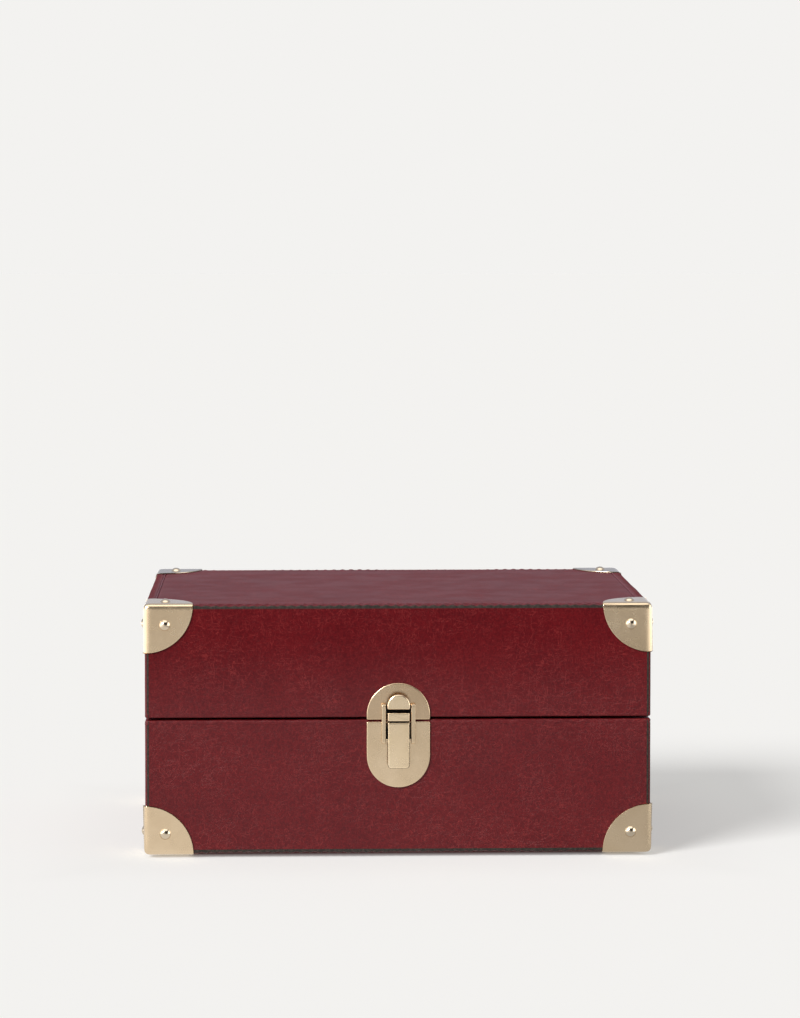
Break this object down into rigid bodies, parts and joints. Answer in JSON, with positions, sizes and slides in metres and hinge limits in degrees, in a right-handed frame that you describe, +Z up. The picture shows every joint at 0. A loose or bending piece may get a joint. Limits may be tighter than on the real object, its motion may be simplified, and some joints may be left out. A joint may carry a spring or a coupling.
{
  "type": "jewellery case",
  "caption": "Leather-covered jewellery case with a hinged lid, draw latch, riveted metal corners, mirror and lift-out tray.",
  "frame": {"origin": "under the middle of the whole case, on the surface that its bottom rivets stand on", "axes": "+X to the right seen from the front, along the case's width; the front with the latch faces -Y; +Z up"},
  "size_m": [0.2616, 0.1882, 0.1313],
  "materials": {
    "leather": "grained calf leather, semi-gloss, dark burgundy",
    "leather_top": "grained calf leather, semi-gloss, dark burgundy",
    "gilt_satin": "pale gilt, satin",
    "gilt_polished": "pale gilt, polished",
    "backing_steel": "plain steel",
    "suede": "suede-like lining",
    "suede_roll": "suede-like cloth over foam",
    "board": "plywood, hidden under leather and lining",
    "mirror": "silvered glass"
  },
  "bodies": {
    "base": {"base_back_board": "board", "base_back_leather": "leather", "base_bottom_leather": "leather", "base_cap_front_left": "gilt_satin", "base_cap_front_right": "gilt_satin", "base_cap_rear_left": "gilt_satin", "base_cap_rear_right": "gilt_satin", "base_cap_rivets": "gilt_polished", "base_cross_dividers": "suede", "base_floor_board": "board", "base_floor_pad": "suede", "base_front_board": "board", "base_front_leather": "leather", "base_hinge_leaves": "gilt_satin", "base_hinge_screws": "gilt_polished", "base_left_leather": "leather", "base_long_divider": "suede", "base_right_leather": "leather", "base_rim_welt": "leather", "base_side_boards": "board", "base_wall_lining": "suede", "hinge_pins": "gilt_satin", "latch_backing_plate": "backing_steel", "latch_plate": "gilt_satin", "lever_pin": "gilt_satin", "tray_ledges": "suede"},
    "lid": {"keeper_backing_plate": "backing_steel", "keeper_plate": "gilt_satin", "lid_back_board": "board", "lid_back_leather": "leather", "lid_cap_front_left": "gilt_satin", "lid_cap_front_right": "gilt_satin", "lid_cap_rear_left": "gilt_satin", "lid_cap_rear_right": "gilt_satin", "lid_cap_rivets": "gilt_polished", "lid_front_board": "board", "lid_front_leather": "leather", "lid_hinge_leaves": "gilt_satin", "lid_hinge_screws": "gilt_polished", "lid_left_leather": "leather", "lid_pad": "suede", "lid_right_leather": "leather", "lid_rim_welt": "leather", "lid_side_boards": "board", "lid_top_board": "board", "lid_top_leather": "leather_top", "lid_wall_lining": "suede", "mirror_frame": "leather", "mirror_glass": "mirror"},
    "lever": {"lever": "gilt_satin"},
    "bail": {"bail_arm_left": "gilt_satin", "bail_arm_right": "gilt_satin", "bail_pin": "gilt_satin"},
    "tray": {"ring_rolls": "suede_roll", "tray_cross_dividers": "suede", "tray_floor": "suede", "tray_long_divider": "suede", "tray_long_walls": "suede", "tray_pull_tabs": "leather", "tray_side_walls": "suede"}
  },
  "joints": [
    {"name": "lid_hinge", "type": "hinge", "parent": "base", "child": "lid", "pos_m": [0, 0.0916, 0.0709], "axis": [-1, 0, 0], "range_deg": [0, 100]},
    {"name": "lever_pivot", "type": "hinge", "parent": "base", "child": "lever", "pos_m": [0, -0.091, 0.07205], "axis": [-1, 0, 0], "range_deg": [0, 90]},
    {"name": "bail_pivot", "type": "hinge", "parent": "lever", "child": "bail", "pos_m": [0, -0.0907, 0.0603], "axis": [-1, 0, 0], "range_deg": [-43, 0]},
    {"name": "tray_lift", "type": "slide", "parent": "base", "child": "tray", "axis": [0, 0, 1], "range_m": [0, 0.028]}
  ],
  "couplings": [
    {"joint": "bail_pivot", "follows": "lever_pivot", "ratio": -0.46}
  ]
}
